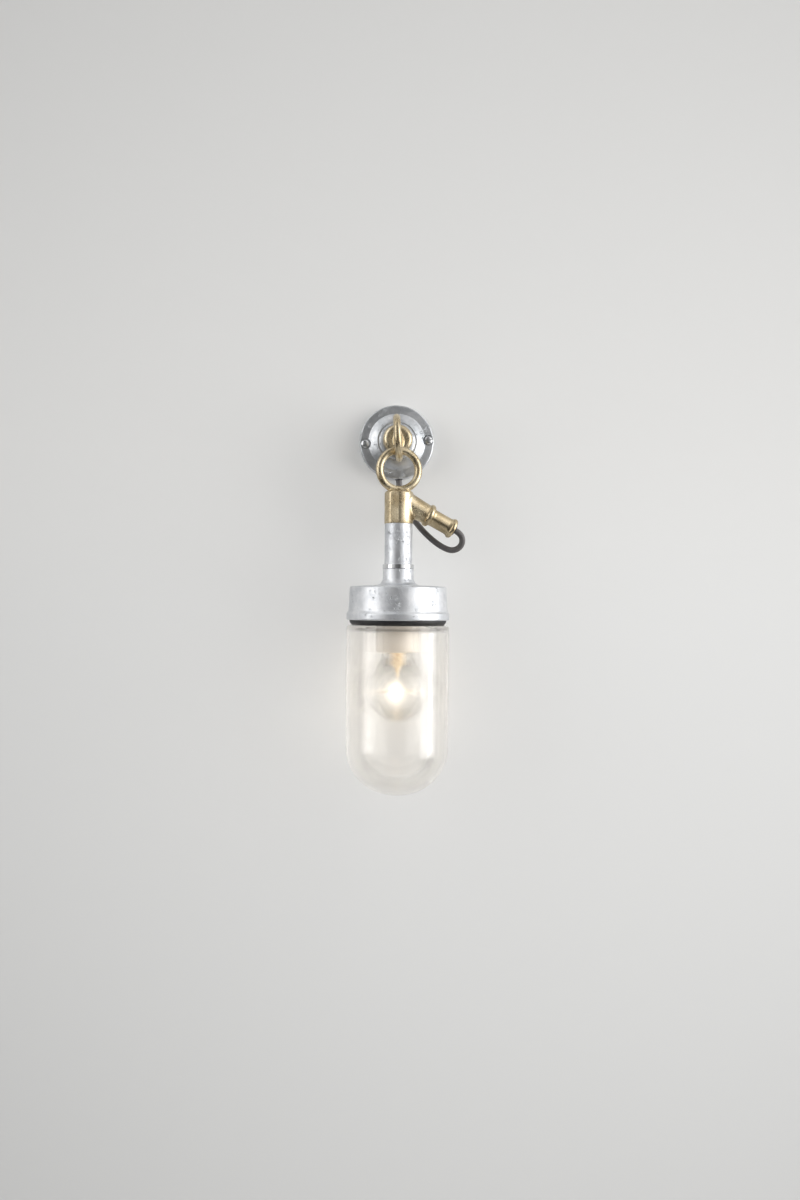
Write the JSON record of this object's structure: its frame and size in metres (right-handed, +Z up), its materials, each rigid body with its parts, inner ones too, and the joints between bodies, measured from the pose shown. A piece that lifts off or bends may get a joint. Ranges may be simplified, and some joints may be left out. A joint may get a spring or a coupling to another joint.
{
  "type": "well glass wall light",
  "caption": "Industrial wall light: a clear well glass and metal cap on a stem, hung by linked rings from a round wall plate, with its flex in a side branch.",
  "frame": {"origin": "centre of the round wall plate, on the plane of the wall", "axes": "+Z up, -Y out from the wall into the room, +X to the right seen from the room"},
  "size_m": [0.1167, 0.127, 0.3852],
  "materials": {
    "cast_brass": "sand cast, satin, slightly aged",
    "turned_brass": "turned, satin",
    "brass_trim": "plain",
    "zinc_steel": "zinc plated",
    "galvanised_steel": "galvanised, mottled",
    "polished_steel": "polished",
    "porcelain": "cream glaze",
    "black_rubber": "matt",
    "flex_sheath": "matt round sheath",
    "earth_insulation": "plain",
    "neutral_insulation": "plain",
    "live_insulation": "plain",
    "clear_glass": "clear pressed glass",
    "bulb_glass": "clear thin glass",
    "bulb_cap_metal": "pressed",
    "wire": "drawn",
    "filament": "coiled"
  },
  "bodies": {
    "wall_set": {"wall_plate": "galvanised_steel", "wall_eye": "cast_brass", "eye_washer": "zinc_steel", "eye_nut": "zinc_steel", "wall_screws": "zinc_steel", "terminal_block": "porcelain", "terminal_screws": "brass_trim", "flex_grommet": "black_rubber", "wall_flex_tail": "flex_sheath", "wall_earth_core": "earth_insulation", "wall_neutral_core": "neutral_insulation", "wall_live_core": "live_insulation", "flex": "flex_sheath"},
    "pendant": {"branch_casting": "cast_brass", "gland_nut": "turned_brass", "gland_washers": "brass_trim", "gland_seal": "black_rubber", "gland_boot": "black_rubber", "branch_flex_tail": "flex_sheath", "earth_core": "earth_insulation", "neutral_core": "neutral_insulation", "live_core": "live_insulation", "stem_tube": "galvanised_steel", "lock_ring": "polished_steel", "cap": "galvanised_steel", "holder_strap": "zinc_steel", "strap_screws": "zinc_steel", "holder_nipple": "brass_trim", "holder_nut": "zinc_steel", "lampholder": "porcelain", "screw_shell": "brass_trim", "centre_contact": "brass_trim", "earth_screw": "brass_trim"},
    "gasket": {"gasket": "black_rubber"},
    "glass": {"well_glass": "clear_glass"},
    "bulb": {"bulb_glass": "bulb_glass", "bulb_cap": "bulb_cap_metal", "bulb_contact": "brass_trim", "bulb_stem": "bulb_glass", "bulb_leads": "wire", "filament": "filament", "bulb_supports": "wire"}
  },
  "joints": [
    {"name": "side_swing", "type": "hinge", "parent": "wall_set", "child": "pendant", "pos_m": [0.00015, -0.055, -0.02214], "axis": [0, 1, 0], "range_deg": [-35, 35], "deforming": ["flex"]},
    {"name": "glass_drop", "type": "slide", "parent": "pendant", "child": "gasket", "axis": [0, 0, -1], "range_m": [0, 0.0121]},
    {"name": "glass_turn", "type": "hinge", "parent": "gasket", "child": "glass", "pos_m": [0.00015, -0.055, -0.172], "axis": [0, 0, -1], "range_deg": [0, 720]},
    {"name": "bulb_out", "type": "slide", "parent": "pendant", "child": "bulb", "axis": [0, 0, -1], "range_m": [0, 0.025]}
  ],
  "couplings": [
    {"joint": "glass_drop", "follows": "glass_turn", "m_per_rad": 0.00095493}
  ]
}
